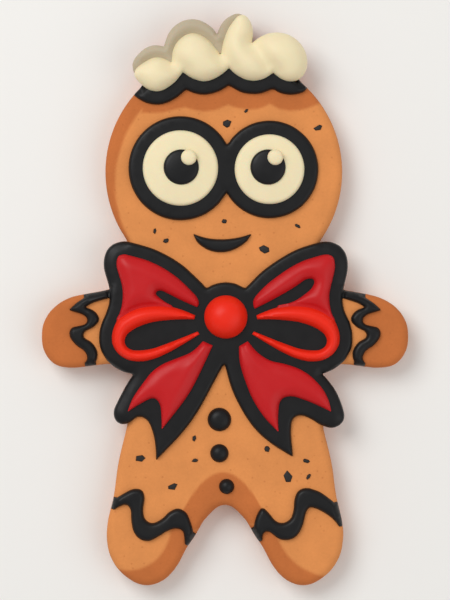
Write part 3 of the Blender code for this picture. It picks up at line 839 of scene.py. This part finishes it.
def ice(node, material, edge, spacing, crown_width=0.0, step=0.2 * MM, shape=None,
        surface=None, detail=None, top=None, under=0.3 * MM, bottom=None):
    """One field of icing in place of a model node, with that node's shape and height.

    Its edge is rounded to `edge`, and where `crown_width` isn't 0 its middle rises over that
    width.  Its points are `spacing` apart, traced on a grid of `step`.  It may take another
    `shape` and `top`, and lie on another `surface` than the level one that it sets into;
    `detail` adds unevenness away from the edge.  Its plain underside lies at `bottom`, or
    `under` below the level surface.
    """
    low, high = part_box(node)
    level = low.z - look_icing().sink
    surface = surface or level_surface(level)
    field = Field(shape or node_shape(node), node_loop(node), step)
    full = (top if top is not None else high.z) - level
    crown = max(0.0, full - edge) if crown_width else 0.0
    rise = puff(field, full - crown, edge, crown, crown_width or 1.0)

    def height(points):
        value = surface(points) + rise(points)
        if detail:
            value = value + detail(points) * np.clip(field.at(points) / edge, 0, 1)
        return value

    floor = bottom if bottom is not None else level - under
    levels = round_levels(edge, count=4)
    piece = relief(f"icing_{node}", field, levels, spacing, height, [(floor, 0.0)])
    finish_piece(piece, node, material)


class GINGERBREAD_OT_bake_biscuit(bpy.types.Operator):
    """Bake the biscuit: a slab with rounded rims, slow waves and painted shade"""

    bl_idname = "gingerbread.bake_biscuit"
    bl_label = "Bake biscuit"

    def execute(self, context):
        look = look_biscuit()
        field = biscuit_field()
        low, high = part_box("gingerbread")
        wall_top = high.z - look.rim_round
        wall = wall_top - look.base_round
        lean = 0.12 * MM            # how far the foot of the wall stands in from its top
        side = [(wall_top - 0.3 * wall, lean / 2), (wall_top - 0.7 * wall, lean * 5 / 6)]
        steps = 4
        for k in range(steps + 1):
            angle = 0.5 * math.pi * k / steps
            side.append((low.z + look.base_round * (1 - math.sin(angle)),
                         lean + look.base_round * (1 - math.cos(angle))))
        levels = round_levels(look.rim_round, count=6)
        spacing = 0.55 * MM
        piece = relief("gingerbread_biscuit", field, levels, spacing, biscuit_top, side)
        self.roughen_sides(piece, wall_top)
        self.brown(piece, look.fade, wall_top)
        finish_piece(piece, "gingerbread", baked_gingerbread())
        return {"FINISHED"}

    def roughen_sides(self, piece, wall_top):
        """Draws the side walls in here and there, as baking leaves them."""
        pull = 0.12 * MM            # the mean distance
        bump_size = 3.5 * MM
        lowest, highest = 0.8 * MM, wall_top - 0.5 * MM
        flat = np.array([v.co[:2] for v in piece.data.vertices])
        inward = biscuit_field().inward(flat)
        for vertex, way in zip(piece.data.vertices, inward):
            if lowest < vertex.co.z < highest:
                bump = noise.noise(vertex.co / bump_size) + 1
                vertex.co.x += way[0] * pull * bump
                vertex.co.y += way[1] * pull * bump

    def brown(self, piece, fade, wall_top):
        """Stores how much painted shade lies at each point, and the real even brown of the
        sides.
        """
        points = np.array([v.co for v in piece.data.vertices])
        stray = 0.12 * MM           # how far the edge of a painted shade zone wanders
        edge = waves(points[:, :2], 2.5 * MM, seed=5.3) * stray
        share = np.clip((painted_shade_depth(points[:, :2]) + edge) / fade + 0.5, 0, 1)
        share = share * share * (3 - 2 * share)
        side_brown = 0.55           # the sides bake to one even brown
        side_top = wall_top + 0.8 * MM
        side_fade = 1.0 * MM
        side = np.clip((side_top - points[:, 2]) / side_fade, 0, 1)
        share += side * (side_brown - share)
        attribute = piece.data.attributes.new("browning", "FLOAT", "POINT")
        attribute.data.foreach_set("value", share.astype(np.float32))


class GINGERBREAD_OT_press_nibs(bpy.types.Operator):
    """Press the cocoa nibs into the dough"""

    bl_idname = "gingerbread.press_nibs"
    bl_label = "Press in nibs"

    def execute(self, context):
        chance = random.Random(11)
        verts, faces = [], []
        for place in NIBS:
            rows, lump = nib_mesh(place, chance)
            faces += [tuple(len(verts) + k for k in face) for face in lump]
            verts += rows
        mesh = bpy.data.meshes.new("cocoa_nibs")
        mesh.from_pydata([tuple(map(float, v)) for v in verts], [], faces)
        piece = bpy.data.objects.new("cocoa_nibs", mesh)
        context.scene.collection.objects.link(piece)
        mesh.materials.append(cocoa_nib())
        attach(piece, BODY)
        return {"FINISHED"}


class GINGERBREAD_OT_flood_outlines(bpy.types.Operator):
    """Flood the black icing under the frosting, the bow and the eyes, and the smile"""

    bl_idname = "gingerbread.flood_outlines"
    bl_label = "Flood black outlines"

    def execute(self, context):
        look = look_icing()
        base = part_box("bow_outline")[0].z - look.sink
        hem = base - 1.8 * MM
        rim = look_biscuit().rim_round
        biscuit = biscuit_field()
        droop = 0.25                # share of the biscuit's fall that thick icing follows
        ripple = 0.05 * MM

        def draped(points):
            return base - droop * fallen(biscuit.at(points), rim)

        def ripples(points):
            return ripple * waves(points, 5 * MM, seed=2.2)

        for node in ("bow_outline", "frosting_outline", "eye_surround", "smile"):
            shape = node_shape(node)
            if node == "frosting_outline":
                shape = over_rim(shape, reach=1.3 * MM)
            ice(node, black_icing(), edge=look.line_edge, spacing=0.9 * MM, shape=shape,
                surface=draped, detail=ripples, bottom=hem)
        return {"FINISHED"}


class GINGERBREAD_OT_pipe_bands(bpy.types.Operator):
    """Pipe the wavy black bands over wrists and ankles, down over the rim"""

    bl_idname = "gingerbread.pipe_bands"
    bl_label = "Pipe wavy bands"

    def execute(self, context):
        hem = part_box("gingerbread")[1].z - look_biscuit().rim_round
        plate_low, plate_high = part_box("bow_outline")
        thickness = plate_high.z - plate_low.z
        for node in ("cuff_left", "cuff_right", "ankle_left", "ankle_right"):
            tucked = tucked_under(node, "bow_outline", closing=0.7 * MM)
            ice(node, black_icing(), edge=1.1 * MM, spacing=0.6 * MM, step=0.16 * MM,
                shape=over_rim(tucked, reach=0.9 * MM), surface=biscuit_top,
                top=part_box(node)[0].z + thickness, bottom=hem)
        return {"FINISHED"}


class GINGERBREAD_OT_flood_eyes(bpy.types.Operator):
    """Flood the whites of the eyes and drop the pupils and glints on them"""

    bl_idname = "gingerbread.flood_eyes"
    bl_label = "Flood eyes"

    def execute(self, context):
        # Each layer's icing, edge, crown width and how far its underside reaches down.
        layers = {"eye_white": (cream_icing(), 0.8 * MM, 6.0 * MM, 0.6 * MM),
                  "pupil": (black_icing(), 0.7 * MM, 3.5 * MM, 0.6 * MM),
                  "glint": (cream_icing(), 0.6 * MM, 1.6 * MM, 1.4 * MM)}
        for side in ("left", "right"):
            for kind, (material, edge, crown_width, under) in layers.items():
                ice(f"{kind}_{side}", material, edge=edge, spacing=0.5 * MM,
                    crown_width=crown_width, step=0.15 * MM, under=under)
        return {"FINISHED"}


class GINGERBREAD_OT_drop_buttons(bpy.types.Operator):
    """Drop the three black buttons down the front"""

    bl_idname = "gingerbread.drop_buttons"
    bl_label = "Drop buttons"

    def execute(self, context):
        for name in ("top", "middle", "bottom"):
            ice(f"button_{name}", black_icing(), edge=0.9 * MM, spacing=0.4 * MM,
                crown_width=2.2 * MM, step=0.12 * MM)
        return {"FINISHED"}


class GINGERBREAD_OT_flood_bow(bpy.types.Operator):
    """Flood the red ribbon of the bow: back loops, front loops, tails and knot"""

    bl_idname = "gingerbread.flood_bow"
    bl_label = "Flood bow"

    def execute(self, context):
        ribbon_edge = look_icing().ribbon_edge
        low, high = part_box("bow_knot")
        knot = np.array(((low.x + high.x) / 2, (low.y + high.y) / 2))
        fold_depth = 0.16 * MM
        folds = 26.0                # folds of the ribbon in a full turn about the knot
        deepest = 8.0 * MM          # they are deepest this far from the middle of the knot
        fade_width = 9.0 * MM

        def gathers(points):
            """Folds that run out of the knot and fade with distance."""
            away = points - knot
            turn = np.arctan2(away[:, 1], away[:, 0])
            reach = np.hypot(*away.T)
            fade = np.exp(-((reach - deepest) / fade_width) ** 2)
            return fold_depth * np.cos(folds * turn) * fade

        for side in ("left", "right"):
            back, front, tail = (f"bow_{kind}_{side}" for kind in
                                 ("loop_back", "loop_front", "tail"))
            # Each ribbon's icing, shape, crown width and spacing of points.
            ribbons = {back: (dark_red_icing(), tucked_under(back, front), 3.2 * MM, 0.6 * MM),
                       front: (bright_red_icing(), node_shape(front), 2.4 * MM, 0.5 * MM),
                       tail: (dark_red_icing(), node_shape(tail), 3.2 * MM, 0.6 * MM)}
            for node, (material, shape, crown_width, spacing) in ribbons.items():
                ice(node, material, edge=ribbon_edge, spacing=spacing,
                    crown_width=crown_width, step=0.16 * MM, shape=shape, detail=gathers)
        ice("bow_knot", bright_red_icing(), edge=2.0 * MM, spacing=0.45 * MM,
            crown_width=4.6 * MM, step=0.15 * MM)
        return {"FINISHED"}


# Where the puffs of the front frosting meet: X and Y of both ends in millimetres.
FROSTING_CREASES = (((-13.4, 59.3), (-10.5, 56.8)), ((-1.1, 61.2), (1.0, 57.8)),
                    ((6.7, 64.0), (12.0, 56.6)))
CREASE_DEPTH = 1.7 * MM
CREASE_WIDTH = 2.1 * MM


class GINGERBREAD_OT_heap_frosting(bpy.types.Operator):
    """Heap the two banks of frosting on the head"""

    bl_idname = "gingerbread.heap_frosting"
    bl_label = "Heap frosting"

    def execute(self, context):
        lump_height = 0.12 * MM

        def lumps(points):
            return lump_height * waves(points, 6 * MM, seed=6.4)

        def puffs(points):
            """Soft valleys where one puff of frosting was set down beside the next."""
            valley = np.zeros(len(points))
            for start, end in np.array(FROSTING_CREASES) * MM:
                span = end - start
                along = np.clip((points - start) @ span / np.sum(span ** 2), 0, 1)
                away = points - start - along[:, None] * span
                near = np.exp(-np.sum(away ** 2, axis=1) / CREASE_WIDTH ** 2)
                valley = np.maximum(valley, near)
            return lumps(points) - CREASE_DEPTH * valley

        # The back bank is cream in painted shade; the front bank is the lit cream.
        ice("frosting_back", painted_shade_cream_icing(), edge=1.5 * MM, spacing=0.6 * MM,
            crown_width=3.0 * MM, shape=tucked_under("frosting_back", "frosting_front"),
            detail=lumps)
        ice("frosting_front", cream_icing(), edge=2.2 * MM, spacing=0.6 * MM,
            crown_width=6.5 * MM, detail=puffs)
        return {"FINISHED"}


# The soft lamps: size, and place from the middle of the biscuit, in metres.
LAMPS = {"key": (0.55, (-0.42, 0.42, 0.75)), "fill": (0.8, (0.62, -0.25, 0.7))}
VIEW_PLANE = 0.75           # height of the plane that fills the view, in biscuit heights
BACKDROP = 0.8              # brightness of what lies beyond the floor


class GINGERBREAD_OT_set_stage(bpy.types.Operator):
    """Lay the pale floor, set the soft lamps and hang the camera over the biscuit"""

    bl_idname = "gingerbread.set_stage"
    bl_label = "Set stage"

    def execute(self, context):
        look = look_stage()
        low, high = CAD_BOUNDS
        middle = Vector(((low.x + high.x) / 2, (low.y + high.y) / 2, low.z))
        self.lay_floor(context, low.z)
        for name, (size, offset) in LAMPS.items():
            self.add_lamp(context, name, getattr(look, name), size, middle + Vector(offset))
        self.set_sky(context, look.sky)
        self.hang_camera(context, middle, VIEW_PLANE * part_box("gingerbread")[1].z)
        context.scene.view_settings.view_transform = "Standard"
        return {"FINISHED"}

    def lay_floor(self, context, height):
        half = 3.0                  # half its width in metres
        mesh = bpy.data.meshes.new("floor")
        corners = [(-half, -half), (half, -half), (half, half), (-half, half)]
        mesh.from_pydata([(x, y, height) for x, y in corners], [], [(0, 1, 2, 3)])
        floor = bpy.data.objects.new("floor", mesh)
        context.scene.collection.objects.link(floor)
        mesh.materials.append(painted_floor())

    def add_lamp(self, context, name, power, size, place):
        """A square lamp that faces the origin."""
        lamp = bpy.data.lights.new(name, "AREA")
        lamp.energy = power
        lamp.size = size
        made = bpy.data.objects.new(name, lamp)
        made.location = place
        made.rotation_euler = (-place).to_track_quat("-Z", "Y").to_euler()
        context.scene.collection.objects.link(made)

    def set_sky(self, context, strength):
        """Even light from all round, with a pale backdrop where nothing else is seen."""
        world = bpy.data.worlds.new("sky")
        context.scene.world = world
        world.use_nodes = True
        tree = world.node_tree
        tree.nodes.clear()
        path = add_node(tree, "ShaderNodeLightPath")
        white = (1, 1, 1, 1)
        light = add_node(tree, "ShaderNodeBackground", {"Color": white, "Strength": strength})
        backdrop = add_node(tree, "ShaderNodeBackground", {"Color": white, "Strength": BACKDROP})
        seen = add_node(tree, "ShaderNodeMath",
                        links={0: path.outputs["Is Camera Ray"],
                               1: path.outputs["Is Transmission Ray"]}, operation="MAXIMUM")
        mix = add_node(tree, "ShaderNodeMixShader",
                       links={0: seen.outputs[0], 1: light.outputs[0], 2: backdrop.outputs[0]})
        add_node(tree, "ShaderNodeOutputWorld", links={"Surface": mix.outputs[0]})

    def hang_camera(self, context, middle, height):
        """The camera looks straight down, with +Y up in its view."""
        look = look_stage()
        lens = bpy.data.cameras.new("camera")
        lens.lens = look.focal_length
        lens.clip_start = 10 * MM
        away = look.view_height * look.focal_length / lens.sensor_width
        camera = bpy.data.objects.new("camera", lens)
        camera.location = (middle.x, middle.y, height + away)
        context.scene.collection.objects.link(camera)
        context.scene.camera = camera


class GINGERBREAD_PT_sidebar(bpy.types.Panel):
    """Panel that lists the steps of making the gingerbread man"""

    bl_idname = "GINGERBREAD_PT_sidebar"
    bl_label = "Gingerbread man"
    bl_space_type = "VIEW_3D"
    bl_region_type = "UI"
    bl_category = "Gingerbread"

    def draw(self, context):
        for settings in (look_biscuit(), look_icing(), look_stage()):
            box = self.layout.box()
            for name in settings.__annotations__:
                box.prop(settings, name)
        for step in STEPS:
            self.layout.operator(step.bl_idname)


STEPS = (GINGERBREAD_OT_bake_biscuit, GINGERBREAD_OT_press_nibs,
         GINGERBREAD_OT_flood_outlines, GINGERBREAD_OT_pipe_bands,
         GINGERBREAD_OT_flood_eyes, GINGERBREAD_OT_drop_buttons,
         GINGERBREAD_OT_flood_bow, GINGERBREAD_OT_heap_frosting,
         GINGERBREAD_OT_set_stage)
SETTINGS = {"gingerbread_biscuit": BiscuitSettings, "gingerbread_icing": IcingSettings,
            "gingerbread_stage": StageSettings}


def register():
    for kind in (*SETTINGS.values(), *STEPS, GINGERBREAD_PT_sidebar):
        bpy.utils.register_class(kind)
    for name, kind in SETTINGS.items():
        setattr(bpy.types.Scene, name, PointerProperty(type=kind))


def unregister():
    for name in SETTINGS:
        delattr(bpy.types.Scene, name)
    for kind in reversed((*SETTINGS.values(), *STEPS, GINGERBREAD_PT_sidebar)):
        bpy.utils.unregister_class(kind)


def main():
    register()
    bpy.ops.gingerbread.bake_biscuit()
    bpy.ops.gingerbread.press_nibs()
    bpy.ops.gingerbread.flood_outlines()
    bpy.ops.gingerbread.pipe_bands()
    bpy.ops.gingerbread.flood_eyes()
    bpy.ops.gingerbread.drop_buttons()
    bpy.ops.gingerbread.flood_bow()
    bpy.ops.gingerbread.heap_frosting()
    bpy.ops.gingerbread.set_stage()


if __name__ == "__main__":
    main()
